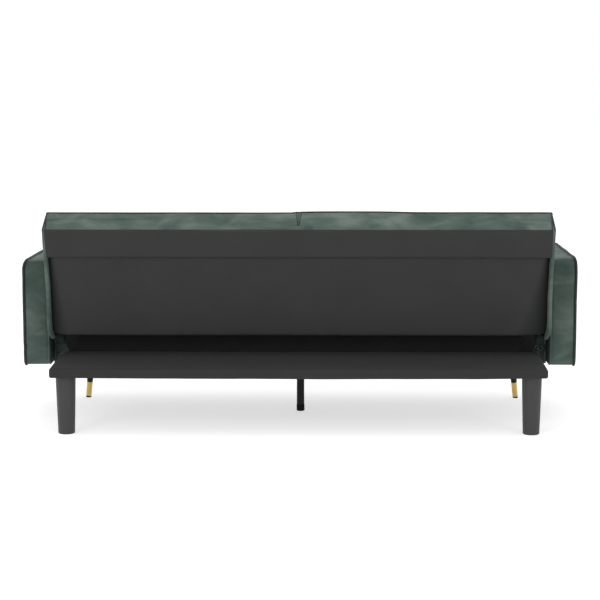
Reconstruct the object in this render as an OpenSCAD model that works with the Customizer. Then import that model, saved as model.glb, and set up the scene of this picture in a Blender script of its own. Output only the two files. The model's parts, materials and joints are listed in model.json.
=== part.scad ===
// Click-clack sofa bed: a seat box with a rear ledge, a folding back, two slab arms and five legs.
// Millimetres. X runs along the sofa, a sitter faces -Y, +Z is up, and left is the sitter's left (+X).
// The origin is on the floor under the middle of the sofa.

/* [Overall] */
// Width over both arms
overall_w = 1970; // [1940:10:2000]
// Depth from the seat's front to the ledge's rear edge
overall_d = 784; // [780:1:790]
// Height of the frame's underside above the floor
frame_z = 205; // [195:1:215]

/* [Seat] */
// Width of the seat
seat_w = 1778; // [1776:1:1780]
// Depth of the seat from its front to its rear face
seat_d = 484; // [480:1:488]
// Height of the seat cushion's top above the frame's underside
seat_top = 195; // [185:1:200]
// Height of the timber seat box
seat_rail_h = 89; // [86:1:92]
// Thickness of the timber rails
rail_t = 22; // [18:1:24]
// Number of zigzag springs under the seat
spring_count = 6; // [4:1:8]
// Half the thickness of the spring wire
wire_r = 1.9; // [1.5:0.1:2.2]

/* [Ledge] */
// Width of the rear ledge
ledge_w = 1722; // [1710:2:1726]
// Height of the ledge at its rear edge
ledge_rear_h = 30; // [29:1:32]
// Height of the ledge where it meets the seat
ledge_front_h = 43; // [41:1:45]

/* [Back] */
// Width of the back
back_w = 1772; // [1768:1:1774]
// Height of the back's rear face, along its lean
back_h = 407; // [400:1:412]
// Thickness of the back
back_t = 120; // [118:1:122]
// How far the top's front edge stands above its rear edge
back_rise = 17; // [10:1:20]
// Lean of the back from upright, in degrees
back_lean = 16.25; // [15.5:0.25:17]
// How far the back's lower rear edge stands behind the seat
back_foot_y = 121; // [120:1:123]
// Height of the back's lower rear edge above the frame's underside
back_foot_z = 117; // [116:1:119]
// Height of the black band at the top of the back's rear face
band_h = 107; // [90:1:115]
// How far the lower dust cover is set in from the back's rear face
recess = 10; // [8:1:12]
// Width of the velvet turned in at each end of the back's rear face
strip_w = 14; // [12:1:18]

/* [Arms] */
// Thickness of an arm
arm_t = 92; // [88:1:93]
// How far an arm reaches behind the seat's rear face
arm_reach = 65; // [55:1:75]
// Height of the arm's underside above the frame's underside
arm_lift = 0; // [0:1:10]
// Height of an arm
arm_h = 380; // [360:1:390]

/* [Legs] */
// Distance of the rear legs from the middle
rear_leg_x = 810; // [806:1:816]
// Distance of the rear legs in front of the ledge's rear edge
rear_leg_in = 55; // [50:1:60]
// Radius of a rear leg at its top
rear_leg_top_r = 35; // [30:1:38]
// Radius of a rear leg at the floor
rear_leg_foot_r = 29; // [24:1:32]
// Distance of the front legs' tops from the middle
front_leg_x = 803; // [798:1:808]
// Distance of the front legs' tops behind the seat's front
front_leg_in = 104; // [100:1:110]
// Splay of the front legs outward and forward, in degrees
splay = 6.15; // [4:0.05:8]
// Distance of the middle leg behind the seat's front
middle_leg_in = 334; // [320:1:350]

/* [Hinge] */
// Distance of the hinge pivot behind the seat's rear face
pivot_back = 41.5; // [41:0.5:42]
// Height of the hinge pivot above the frame's underside
pivot_up = 168; // [167.5:0.5:168.5]
// Radius of the pivot pin
pin_r = 6; // [5:0.5:7]
// Running clearance round the pivot pin
pin_gap = 0.08; // [0.05:0.01:0.1]
// Radius of the ratchet's tooth tips
ratchet_r = 20; // [19:0.5:20]

/* [Hidden] */
$fn = 48;

half_w = overall_w / 2;
front_y = -overall_d / 2;
rear_y = overall_d / 2;
seat_y = front_y + seat_d;              // the seat's rear face
seat_x = seat_w / 2;
skin = 2;                               // cloth with its backing
pad_t = 8;                              // padded velvet over the seat's rails
hair = 0.4;                             // gap between neighbouring soft pieces
rail_x = seat_x - pad_t;                // outer face of the seat's end rails
rail_z0 = frame_z + 3;
rail_z1 = rail_z0 + seat_rail_h;
deck_z = rail_z1 + 8;                   // underside of the seat cushions
seat_z = frame_z + seat_top;
batten_h = 28;                          // height of the battens under the seat box
batten_z = rail_z0 + batten_h;
ledge_x = ledge_w / 2;
ledge_rail_x = ledge_x - 4;             // outer face of the ledge's side rails
back_x = back_w / 2;
foot_y = seat_y + back_foot_y;
foot_z = frame_z + back_foot_z;
arm_x = half_w - arm_t;                 // inner face of an arm
arm_y = seat_y + arm_reach;
arm_z = frame_z + arm_lift;
pivot_y = seat_y + pivot_back;
pivot_z = frame_z + pivot_up;
plate_t = 3;
web_x = 850;                            // inner face of the hinge's seat web
plate_x = web_x + 7;                    // inner face of the hinge's back plate
end_rail_x = plate_x + plate_t;         // inner face of the back's end rails
pocket_x0 = web_x - 14;                 // the back is hollow round the hinge from here
pocket_x1 = end_rail_x + 6;
pocket_h = 86;
frame_back = recess + skin;             // rear face of the back's timber, from its rear face
frame_front = frame_back + 46;          // front face of the back's timber
rail_back = frame_back + 16;            // rear face of the end rails, clear of the sloping cover
plate_bolt_in = 40;                     // distance of the hinge bolts from the back's rear face
arm_turn = -120;                        // direction of the hinge's arm from the pivot
pawl_reach = 46;                        // distance of the pawl's pin from the pivot
pawl_pin_r = 3;
pawl_gap = 0.7;                         // room between the pawl's nose and the tooth tips
tooth_step = 12;
m6_r = 3;
m8_r = 4;
leg_length = frame_z / (cos(splay) * cos(splay));
ferrule_top = leg_length - 64;
ferrule_h = 56;
ferrule_r = 11.2;
foot_r = 10.2;
middle_r = 14;
plate_half = 43;
screw_r = 2.2;
flange_z = frame_z + ledge_front_h + 1;  // lower edge of the seat brackets' flanges
screw_in = 34;
arm_bolt_ys = [front_y + 142, seat_y - 72];
arm_bolt_z = rail_z0 + 54;
bracket_bolt_spots = [[812, 262], [812, 290], [836, 276]];   // X, Z
plate_bolt_zs = [110, 150, 190];

velvet = "#4b6255";
black_cloth = "#3c3c3d";
timber = "#c9a877";
steel = "#4a4c50";
zinc = "#a9adb0";

// ---- helpers ----

// A block between two corners.
module span(x, y, z) {
    translate([x[0], y[0], z[0]]) cube([x[1] - x[0], y[1] - y[0], z[1] - z[0]]);
}

// Drawn on the left for 1 and mirrored to the right for -1.
module on_side(side) {
    if (side > 0) children();
    else mirror([1, 0, 0]) children();
}

module both_sides() {
    for (side = [-1, 1]) on_side(side) children();
}

// A YZ outline stretched along X between two values.
module along_x(x0, x1) {
    translate([x0, 0, 0]) rotate([90, 0, 90]) linear_extrude(x1 - x0) children();
}

// A round bar along X through a point of the YZ plane.
module bar_x(y, z, x0, x1, r) {
    translate([x0, y, z]) rotate([0, 90, 0]) cylinder(h = x1 - x0, r = r);
}

// The back's own frame: z runs up its rear face and -y runs forward through it.
module in_back() {
    translate([0, foot_y, foot_z]) rotate([-back_lean, 0, 0]) children();
}

function turned(y, z, a) = [y * cos(a) - z * sin(a), y * sin(a) + z * cos(a)];
pivot_local = turned(pivot_y - foot_y, pivot_z - foot_z, back_lean);
arm_dir = [cos(arm_turn), sin(arm_turn)];
pawl_y = pivot_y + pawl_reach * arm_dir[0];
pawl_z = pivot_z + pawl_reach * arm_dir[1];
board_drop = 5.2;                       // the ledge's rails stop this far below its top
function ledge_line(y, drop) =
    frame_z - drop + ledge_front_h + (ledge_rear_h - ledge_front_h) * (y - seat_y) / (rear_y - seat_y);

// ---- seat box ----

module bracket_bolt_shanks() {
    both_sides() for (spot = bracket_bolt_spots)
        translate([spot[0], seat_y + plate_t, spot[1]]) rotate([90, 0, 0]) cylinder(h = 30, r = m6_r);
}

module arm_bolt_shanks() {
    both_sides() for (y = arm_bolt_ys) bar_x(y, arm_bolt_z, rail_x - rail_t, arm_x + arm_t / 2 + 8, m8_r);
}

module plate_screw_shanks() {
    for (at = [[-front_leg_x, front_y + front_leg_in], [front_leg_x, front_y + front_leg_in],
               [0, front_y + middle_leg_in]])
        for (dx = [-screw_in, screw_in], dy = [-screw_in, screw_in])
            translate([at[0] + dx, at[1] + dy, frame_z - 2]) cylinder(h = 26, r = screw_r);
}

module seat_front_rail() {
    color(timber)
        span([-rail_x, rail_x], [front_y + pad_t, front_y + pad_t + rail_t], [rail_z0, rail_z1]);
}

module seat_rear_rail() {
    color(timber) difference() {
        span([rail_t - rail_x, rail_x - rail_t], [seat_y - skin - rail_t, seat_y - skin],
             [batten_z, rail_z1]);
        bracket_bolt_shanks();
    }
}

module seat_end_rails() {
    color(timber) difference() {
        both_sides() span([rail_x - rail_t, rail_x],
                          [front_y + pad_t + rail_t, seat_y - skin], [rail_z0, rail_z1]);
        arm_bolt_shanks();
    }
}

module seat_cross_rails() {
    color(timber) difference() {
        for (x = [-300, 0, 300]) span([x - 45, x + 45],
            [front_y + pad_t + rail_t, seat_y - skin], [rail_z0, batten_z]);
        plate_screw_shanks();
    }
}

module corner_blocks() {
    color(timber) difference() {
        both_sides() {
            span([front_leg_x - 46, rail_x - rail_t],
                 [front_y + front_leg_in - 46, front_y + front_leg_in + 46], [rail_z0, batten_z]);
            span([rear_leg_x - 34, ledge_rail_x - rail_t],
                 [rear_y - rear_leg_in - 36, rear_y - 4 - rail_t], [rail_z0, frame_z + ledge_rear_h - 5]);
        }
        plate_screw_shanks();
        leg_stud_shanks();
    }
}

// One flat spring: straight rods along X joined by half rings at alternate ends.
module zigzag(rods, pitch, half_length) {
    for (i = [0 : rods - 1]) translate([-half_length, i * pitch - wire_r])
        square([2 * half_length, 2 * wire_r]);
    for (i = [0 : rods - 2]) mirror([i % 2, 0]) translate([half_length, (i + 0.5) * pitch])
        intersection() {
            difference() {
                circle(r = pitch / 2 + wire_r);
                circle(r = pitch / 2 - wire_r);
            }
            translate([0, -pitch]) square([pitch, 2 * pitch]);
        }
}

spring_span = seat_d - pad_t - skin - rail_t;
spring_rods = 13;
clip_t = 1.6;
spring_step = 2 * (rail_x - 100) / spring_count;

module at_springs() {
    for (i = [0 : spring_count - 1])
        translate([(i - (spring_count - 1) / 2) * spring_step, front_y + pad_t + rail_t / 2, rail_z1])
            children();
}

module seat_springs() {
    color(steel) at_springs() translate([0, 0, clip_t]) linear_extrude(2 * wire_r)
        zigzag(spring_rods, spring_span / (spring_rods - 1), 34);
}

module spring_clips() {
    color("white") at_springs() for (y = [0, spring_span])
        span([-14, 14], [y - 8, y + 8], [0, clip_t]);
}

module seat_pad() {
    color("gray") span([-rail_x, rail_x], [front_y + pad_t, seat_y - skin], [deck_z - 2.4, deck_z]);
}

module seat_cushion(side) {
    color(velvet) on_side(side) span([hair, seat_x], [front_y, seat_y], [deck_z, seat_z]);
}

module seat_cushion_left() seat_cushion(1);
module seat_cushion_right() seat_cushion(-1);

// Padded velvet down the seat's end, turned 60 mm round its rear corner.
module seat_border(side) {
    color(velvet) difference() {
        on_side(side) {
            span([rail_x, seat_x], [front_y + pad_t, seat_y], [rail_z0 - 2, deck_z]);
            span([seat_x - 60, rail_x + 1], [seat_y - skin, seat_y], [frame_z + ledge_front_h, deck_z]);
        }
        arm_bolt_shanks();
        bracket_bolt_shanks();
    }
}

module seat_border_left() seat_border(1);
module seat_border_right() seat_border(-1);

module seat_front_border() {
    color(velvet) span([-seat_x, seat_x], [front_y, front_y + pad_t], [rail_z0 - 2, deck_z]);
}

module seat_rear_cover() {
    color(black_cloth) difference() {
        span([60 - seat_x, seat_x - 60], [seat_y - skin, seat_y], [frame_z + ledge_front_h, deck_z]);
        bracket_bolt_shanks();
    }
}

module seat_dust_cover() {
    color(black_cloth) difference() {
        span([-rail_x, rail_x], [front_y + pad_t, seat_y], [rail_z0 - 2, rail_z0]);
        plate_screw_shanks();
    }
}

// ---- rear ledge ----

module batten_outline(y0) {
    y1 = rear_y - 4 - rail_t;
    polygon([[y0, rail_z0], [y1, rail_z0], [y1, ledge_line(y1, board_drop)],
             [seat_y, ledge_line(seat_y, board_drop)], [seat_y, batten_z], [y0, batten_z]]);
}

module ledge_side_rails() {
    color(timber) both_sides() along_x(ledge_rail_x - rail_t, ledge_rail_x) batten_outline(seat_y - 252);
}

module ledge_rear_rail() {
    color(timber) along_x(-ledge_rail_x, ledge_rail_x) polygon([
        [rear_y - 4 - rail_t, rail_z0], [rear_y - 4, rail_z0],
        [rear_y - 4, ledge_line(rear_y - 4, board_drop)],
        [rear_y - 4 - rail_t, ledge_line(rear_y - 4 - rail_t, board_drop)]]);
}

module ledge_cross_rails() {
    color(timber) for (x = [-520, -150, 150, 520]) along_x(x - 22, x + 22) batten_outline(seat_y - 110);
}

module ledge_board() {
    color("#8a6a45") along_x(-ledge_rail_x, ledge_rail_x) polygon([
        [seat_y, ledge_line(seat_y, 5)], [rear_y - 4, ledge_line(rear_y - 4, 5)],
        [rear_y - 4, ledge_line(rear_y - 4, 2.1)], [seat_y, ledge_line(seat_y, 2.1)]]);
}

// The ledge's side outline, drawn in by a margin, with its rear edges rounded.
module ledge_outline(inset, round_r) {
    low = frame_z + inset;
    end = rear_y - inset;
    high = ledge_line(end - round_r, inset);
    polygon(concat(
        [[seat_y, low]],
        [for (a = [-90 : 15 : 0]) [end - round_r + round_r * cos(a), low + round_r + round_r * sin(a)]],
        [for (a = [0 : 15 : 90]) [end - round_r + round_r * cos(a), high - round_r + round_r * sin(a)]],
        [[seat_y, ledge_line(seat_y, inset)]]));
}

module ledge_cover() {
    color(black_cloth) difference() {
        along_x(-ledge_x, ledge_x) ledge_outline(0, 7);
        along_x(-ledge_x + 2, ledge_x - 2) ledge_outline(skin, 2);
        leg_stud_shanks();
        translate([-ledge_x, seat_y - 1, frame_z - 1]) cube([2 * ledge_x, 1, 60]);
    }
}

// ---- arms ----

module arm_block(x0, x1, inset) {
    span([x0, x1], [front_y + inset, arm_y - inset], [arm_z + inset, arm_z + arm_h - inset]);
}

module arm_board(side) {
    color(timber) difference() {
        on_side(side) arm_block(arm_x + 36, arm_x + 56, 14);
        arm_bolt_shanks();
    }
}

module arm_board_left() arm_board(1);
module arm_board_right() arm_board(-1);

module arm_inner_pad(side) {
    color(velvet) difference() {
        on_side(side) difference() {
            arm_block(arm_x, arm_x + 46, 0);
            arm_block(arm_x + 36, arm_x + 47, 14);
        }
        arm_bolt_shanks();
    }
}

module arm_inner_pad_left() arm_inner_pad(1);
module arm_inner_pad_right() arm_inner_pad(-1);

module arm_outer_pad(side) {
    color(velvet) on_side(side) difference() {
        arm_block(arm_x + 46, arm_x + arm_t, 0);
        arm_block(arm_x + 45, arm_x + 56, 14);
    }
}

module arm_outer_pad_left() arm_outer_pad(1);
module arm_outer_pad_right() arm_outer_pad(-1);

module arm_bolts() {
    color(zinc) {
        arm_bolt_shanks();
        both_sides() for (y = arm_bolt_ys)
            bar_x(y, arm_bolt_z, rail_x - rail_t - 5, rail_x - rail_t, 8);
    }
}

module arm_spacers() {
    color(steel) difference() {
        both_sides() for (y = arm_bolt_ys) bar_x(y, arm_bolt_z, seat_x, arm_x, 14);
        arm_bolt_shanks();
    }
}

// ---- legs ----

module leg_stud_shanks() {
    both_sides() translate([rear_leg_x, rear_y - rear_leg_in, frame_z - 40]) cylinder(h = 60, r = m8_r);
}

module rear_leg(side) {
    chamfer = 2;
    color("#444448") difference() {
        on_side(side) translate([rear_leg_x, rear_y - rear_leg_in, 0]) rotate_extrude() polygon([
            [0, 0], [rear_leg_foot_r - chamfer, 0], [rear_leg_foot_r, chamfer],
            [rear_leg_top_r, frame_z - chamfer], [rear_leg_top_r - chamfer, frame_z], [0, frame_z]]);
        leg_stud_shanks();
    }
}

module rear_leg_left() rear_leg(1);
module rear_leg_right() rear_leg(-1);
module rear_leg_studs() { color(zinc) leg_stud_shanks(); }

// A front leg's own frame: its axis runs down -z from the middle of its plate.
module in_front_leg() {
    translate([front_leg_x, front_y + front_leg_in, frame_z - 1]) rotate([-splay, -splay, 0]) children();
}

module front_leg_stud() {
    in_front_leg() translate([0, 0, -32]) cylinder(h = 32, r = m8_r);
}

// A length of the front leg between two distances down its axis.
module leg_taper(from, to, r_from, r_to) {
    in_front_leg() translate([0, 0, -to]) cylinder(h = to - from, r1 = r_to, r2 = r_from);
}

module front_leg(side) {
    color("#242426") on_side(side) difference() {
        leg_taper(-4, ferrule_top, 18.3, ferrule_r);
        translate([front_leg_x, front_y + front_leg_in, frame_z - 2]) cylinder(h = 20, r = 60);
        front_leg_stud();
    }
}

module front_leg_left() front_leg(1);
module front_leg_right() front_leg(-1);

module front_leg_ferrules() {
    color("#c3af69") both_sides() leg_taper(ferrule_top, ferrule_top + ferrule_h, ferrule_r, foot_r);
}

module front_leg_pads() {
    color("#202022") both_sides() difference() {
        leg_taper(ferrule_top + ferrule_h, leg_length + 8, foot_r, foot_r - 1.2);
        translate([front_leg_x, front_y, -20]) cylinder(h = 20, r = 200);
    }
}

module leg_plate(x, y) {
    span([x - plate_half, x + plate_half], [y - plate_half, y + plate_half], [frame_z - 2, frame_z + 1]);
}

module front_leg_plates() {
    color(steel) difference() {
        both_sides() {
            leg_plate(front_leg_x, front_y + front_leg_in);
            difference() {
                front_leg_stud();
                translate([front_leg_x, front_y + front_leg_in, frame_z]) cylinder(h = 10, r = 20);
            }
        }
        plate_screw_shanks();
    }
}

module plate_screws() {
    color(zinc) {
        plate_screw_shanks();
        for (x = [-front_leg_x, 0, front_leg_x]) for (dx = [-screw_in, screw_in], dy = [-screw_in, screw_in])
            translate([x + dx, dy + front_y + (x == 0 ? middle_leg_in : front_leg_in), frame_z - 4.4])
                cylinder(h = 2.4, r = 4.4);
    }
}

module middle_leg() {
    color("#2a2a2c") difference() {
        union() {
            translate([0, front_y + middle_leg_in, 6]) difference() {
                cylinder(h = frame_z - 8, r = middle_r);
                translate([0, 0, -1]) cylinder(h = frame_z, r = middle_r - 1.5);
            }
            leg_plate(0, front_y + middle_leg_in);
        }
        plate_screw_shanks();
    }
}

module middle_leg_cap() {
    color("#1d1d1f") translate([0, front_y + middle_leg_in, 0]) difference() {
        union() {
            cylinder(h = 2.5, r1 = middle_r - 1.6, r2 = middle_r + 0.8);
            translate([0, 0, 2.5]) cylinder(h = 22, r = middle_r + 0.8);
        }
        translate([0, 0, 6]) cylinder(h = 30, r = middle_r);
    }
}

// ---- click-clack hinge ----

// The eye round the pivot and the arm that runs down to the seat's rear rail.
module hinge_seat_bracket(side) {
    color(steel) difference() {
        on_side(side) {
            span([web_x - 50, web_x + plate_t], [seat_y, seat_y + plate_t], [flange_z, flange_z + 75]);
            bar_x(pivot_y, pivot_z, web_x, web_x + plate_t, 15);
            intersection() {
                translate([0, pivot_y, pivot_z]) rotate([arm_turn, 0, 0])
                    span([web_x, web_x + plate_t], [0, 110], [-10, 10]);
                span([web_x - 10, web_x + 20], [seat_y, seat_y + 100], [rail_z0, pivot_z]);
            }
        }
        both_sides() {
            bar_x(pivot_y, pivot_z, web_x - 1, web_x + 10, pin_r);
            bar_x(pawl_y, pawl_z, web_x - 1, web_x + 10, pawl_pin_r);
        }
        bracket_bolt_shanks();
    }
}

module hinge_seat_bracket_left() hinge_seat_bracket(1);
module hinge_seat_bracket_right() hinge_seat_bracket(-1);

module pivot_pins() {
    color(zinc) both_sides() {
        bar_x(pivot_y, pivot_z, web_x - 4, web_x, 10);
        bar_x(pivot_y, pivot_z, web_x - 1, end_rail_x + 3.5, pin_r);
        bar_x(pivot_y, pivot_z, end_rail_x + 0.5, end_rail_x + 3, 9);
    }
}

module bracket_bolts() {
    color(zinc) {
        bracket_bolt_shanks();
        both_sides() for (spot = bracket_bolt_spots)
            translate([spot[0], seat_y + plate_t + 4, spot[1]])
                rotate([90, 0, 0]) cylinder(h = 4, r = 5.8, $fn = 6);
    }
}

module pawl_pins() {
    color(zinc) both_sides() {
        bar_x(pawl_y, pawl_z, web_x - 8, plate_x - 0.3, pawl_pin_r);
        bar_x(pawl_y, pawl_z, web_x - 9.5, web_x - 8, 5);
    }
}

// One ring of points per step along a helix round the X axis.
coil_turns = 4;
coil_steps = 16;
coil_r = 4.4;
coil_wire = 0.7;
coil_sides = 6;
coil_pitch = 1.55;
coil_points = [
    for (i = [0 : coil_turns * coil_steps]) for (j = [0 : coil_sides - 1])
        let (a = 360 * i / coil_steps, b = 360 * j / coil_sides, r = coil_r + coil_wire * cos(b))
        [coil_pitch * i / coil_steps + coil_wire * sin(b), r * cos(a), r * sin(a)]];
coil_faces = concat(
    [[for (j = [0 : coil_sides - 1]) j]],
    [for (i = [0 : coil_turns * coil_steps - 1]) for (j = [0 : coil_sides - 1])
        let (k = (j + 1) % coil_sides, a = i * coil_sides, b = a + coil_sides) [a + j, b + j, b + k, a + k]],
    [[for (j = [coil_sides - 1 : -1 : 0]) coil_turns * coil_steps * coil_sides + j]]);

module pawl_springs() {
    color(zinc) both_sides() translate([web_x - 7.9 + coil_wire, pawl_y, pawl_z])
        polyhedron(points = coil_points, faces = coil_faces);
}

module pawl(side) {
    color(zinc) on_side(side) difference() {
        union() {
            bar_x(pawl_y, pawl_z, web_x + plate_t + 0.6, plate_x - 0.6, 7);
            translate([0, pawl_y, pawl_z]) rotate([arm_turn + 180, 0, 0])
                span([web_x + plate_t + 0.6, plate_x - 0.6], [0, pawl_reach], [-4, 4]);
        }
        bar_x(pawl_y, pawl_z, web_x, plate_x + 2, pawl_pin_r + pin_gap);
        bar_x(pivot_y, pivot_z, web_x, plate_x + 2, ratchet_r + pawl_gap);
        translate([0, pivot_y, pivot_z]) rotate([arm_turn, 0, 0])
            span([web_x, plate_x + 2], [-60, ratchet_r - 5], [-40, 40]);
    }
}

module pawl_left() pawl(1);
module pawl_right() pawl(-1);

// The plate on the back's end rail, with the toothed disc welded round its eye.
module hinge_back_plates() {
    color(steel) difference() {
        union() {
            both_sides() in_back() {
                bar_x(pivot_local[0], pivot_local[1], plate_x, end_rail_x, 16);
                translate([0, pivot_local[0], pivot_local[1]]) rotate([42, 0, 0])
                    span([plate_x, end_rail_x], [0, 74], [-13, 13]);
                span([plate_x, end_rail_x], [-plate_bolt_in - 10, -plate_bolt_in + 10], [62, 212]);
            }
            both_sides() bar_x(pivot_y, pivot_z, web_x + plate_t + 0.5, plate_x + 1, ratchet_r);
        }
        both_sides() {
            bar_x(pivot_y, pivot_z, web_x, end_rail_x + 1, pin_r + pin_gap);
            for (a = [arm_turn - 6 : tooth_step : arm_turn + 84])
                bar_x(pivot_y + (ratchet_r + 0.6) * cos(a), pivot_z + (ratchet_r + 0.6) * sin(a),
                      web_x, plate_x, 2.4);
        }
        plate_bolt_shanks();
    }
}

module plate_bolt_shanks() {
    in_back() both_sides() for (z = plate_bolt_zs)
        bar_x(-plate_bolt_in, z, plate_x, end_rail_x + 18, m6_r);
}

module hinge_plate_bolts() {
    color(zinc) {
        plate_bolt_shanks();
        in_back() both_sides() for (z = plate_bolt_zs)
            translate([plate_x - 4, -plate_bolt_in, z])
                rotate([0, 90, 0]) cylinder(h = 4, r = 5.8, $fn = 6);
    }
}

// ---- folding back ----

module back_top_board() {
    color(timber) in_back()
        span([-back_x + 4, back_x - 4], [-rail_back, -3], [back_h - band_h + 2, back_h - 6]);
}

module back_bottom_rail() {
    color(timber) in_back() span([1 - plate_x, plate_x - 1], [-frame_front, -rail_back - 2], [30, 52]);
}

module back_end_rails() {
    color(timber) difference() {
        in_back() both_sides()
            span([end_rail_x, back_x - 4], [-frame_front, -rail_back], [4, back_h - 6]);
        plate_bolt_shanks();
    }
}

module back_uprights() {
    color(timber) in_back() for (x = [-290, 290])
        span([x - 11, x + 11], [-frame_front, -frame_back], [52, back_h - band_h + 2]);
}

module back_webbing() {
    color("#5a5a5c") in_back() for (z = [110, 175, 240])
        span([-back_x + 6, back_x - 6], [-frame_front - 2, -frame_front], [z, z + 50]);
}

module back_cushion(side) {
    inner = frame_front + 4;
    color(velvet) in_back() on_side(side) difference() {
        along_x(hair, back_x) polygon([
            [-inner, 0], [-back_t, 0], [-back_t, back_h + back_rise],
            [0, back_h], [0, back_h - 4], [-inner, back_h - 4]]);
        span([pocket_x0, pocket_x1], [-back_t + 8, 1], [-1, pocket_h]);
    }
}

module back_cushion_left() back_cushion(1);
module back_cushion_right() back_cushion(-1);

// Velvet down each end of the back, turned in over the edge of its rear face.
module back_side_covers() {
    color(velvet) in_back() both_sides() {
        span([back_x - 4, back_x], [-frame_front - 4, -1], [2, back_h - 4]);
        span([back_x - strip_w, back_x], [-rail_back, 0], [0, back_h - band_h + 2]);
        span([back_x - strip_w, back_x], [-3, 0], [back_h - band_h + 1, back_h - 4]);
    }
}

module back_top_band() {
    color(black_cloth) in_back()
        span([strip_w - back_x, back_x - strip_w], [-3, 0], [back_h - band_h, back_h - 4]);
}

module back_dust_cover() {
    color(black_cloth) in_back()
        span([strip_w - back_x, back_x - strip_w], [-frame_back, -recess], [0, back_h - band_h]);
}

seat_front_rail();
seat_rear_rail();
seat_end_rails();
seat_cross_rails();
corner_blocks();
seat_springs();
spring_clips();
seat_pad();
seat_cushion_left();
seat_cushion_right();
seat_border_left();
seat_border_right();
seat_front_border();
seat_rear_cover();
seat_dust_cover();
ledge_side_rails();
ledge_rear_rail();
ledge_cross_rails();
ledge_board();
ledge_cover();
arm_board_left();
arm_board_right();
arm_inner_pad_left();
arm_inner_pad_right();
arm_outer_pad_left();
arm_outer_pad_right();
arm_bolts();
arm_spacers();
rear_leg_left();
rear_leg_right();
rear_leg_studs();
front_leg_left();
front_leg_right();
front_leg_ferrules();
front_leg_pads();
front_leg_plates();
plate_screws();
middle_leg();
middle_leg_cap();
hinge_seat_bracket_left();
hinge_seat_bracket_right();
pivot_pins();
bracket_bolts();
pawl_pins();
pawl_springs();
pawl_left();
pawl_right();
back_top_board();
back_bottom_rail();
back_end_rails();
back_uprights();
back_webbing();
back_cushion_left();
back_cushion_right();
back_side_covers();
back_top_band();
back_dust_cover();
hinge_back_plates();
hinge_plate_bolts();
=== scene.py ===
# Click-clack sofa bed seen from behind: padding, cloth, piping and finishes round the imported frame.
import json
import math

import bmesh
import bpy
import numpy as np
from mathutils import Matrix, Vector, noise
from mathutils.bvhtree import BVHTree


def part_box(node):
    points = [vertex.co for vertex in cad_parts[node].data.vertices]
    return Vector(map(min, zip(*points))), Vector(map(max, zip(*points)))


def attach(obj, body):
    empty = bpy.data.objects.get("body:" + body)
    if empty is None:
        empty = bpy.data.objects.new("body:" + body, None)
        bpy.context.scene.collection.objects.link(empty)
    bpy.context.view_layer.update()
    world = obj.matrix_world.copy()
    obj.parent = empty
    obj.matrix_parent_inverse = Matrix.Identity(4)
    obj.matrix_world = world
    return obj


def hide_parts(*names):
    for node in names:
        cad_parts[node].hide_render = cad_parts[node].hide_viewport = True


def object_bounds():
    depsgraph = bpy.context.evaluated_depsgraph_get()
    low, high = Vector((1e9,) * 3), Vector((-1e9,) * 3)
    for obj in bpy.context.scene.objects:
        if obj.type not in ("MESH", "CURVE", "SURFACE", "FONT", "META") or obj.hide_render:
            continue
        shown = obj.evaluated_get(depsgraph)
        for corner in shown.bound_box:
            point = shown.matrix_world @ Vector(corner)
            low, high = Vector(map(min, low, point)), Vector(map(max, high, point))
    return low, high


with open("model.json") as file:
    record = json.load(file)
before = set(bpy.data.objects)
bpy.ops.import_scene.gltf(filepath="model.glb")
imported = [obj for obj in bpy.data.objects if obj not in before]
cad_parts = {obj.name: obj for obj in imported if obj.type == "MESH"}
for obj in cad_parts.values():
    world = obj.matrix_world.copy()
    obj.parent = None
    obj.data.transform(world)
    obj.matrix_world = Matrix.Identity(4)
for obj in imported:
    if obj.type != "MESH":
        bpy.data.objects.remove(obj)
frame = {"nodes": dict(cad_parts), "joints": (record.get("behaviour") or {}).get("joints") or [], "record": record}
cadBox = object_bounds()
scene = bpy.context.scene
scene.view_settings.view_transform = "Standard"
print("frame loaded:", len(frame["nodes"]), "nodes")

recline = next(j for j in frame["joints"] if j["name"] == "back_recline")
lean = math.radians(90 - recline["range_deg"][1])
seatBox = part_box("seat_cushion_left")
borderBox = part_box("seat_border_left")
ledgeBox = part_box("ledge_cover")
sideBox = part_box("back_side_covers")
armBoxes = {"left": (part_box("arm_inner_pad_left")[0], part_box("arm_outer_pad_left")[1]),
            "right": (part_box("arm_outer_pad_right")[0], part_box("arm_inner_pad_right")[1])}
back = {
    "halfWidth": sideBox[1].x,
    "height": 0.407,          # up the rear face
    "rise": 0.017,            # the front edge of the top above its rear edge
    "thickness": 0.120,
    "padRear": 0.062,         # where the front padding meets the timber
    "band": 0.107,            # height of the black band
    "recess": 0.010,          # depth of the lower cover behind the band
    "strip": sideBox[1].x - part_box("back_top_band")[1].x,      # velvet turned in over the rear face
    "deep": 0.026,            # how far the turned-in velvet reaches forward
}
footY = sideBox[1].y - (back["height"] - 0.004) * math.sin(lean)
backFrame = Matrix.Translation((0, footY, sideBox[0].z)) @ Matrix.Rotation(-lean, 4, "X")


cameraSet = {"distance": 5.728, "height": 1.271, "tilt": 7.89, "lens": 101.5, "aside": -0.111,
             "turn": 0.544, "shift": -0.0244}


def addCamera():
    lens = bpy.data.cameras.new("camera")
    lens.lens = cameraSet["lens"]
    lens.sensor_width = 36
    lens.shift_x = cameraSet["shift"]
    lens.clip_end = 200
    camera = bpy.data.objects.new("camera", lens)
    camera.location = (cameraSet["aside"], cadBox[1].y + cameraSet["distance"], cameraSet["height"])
    camera.rotation_euler = (math.radians(90 - cameraSet["tilt"]), 0, math.radians(180 + cameraSet["turn"]))
    scene.collection.objects.link(camera)
    scene.camera = camera


addCamera()


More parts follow.
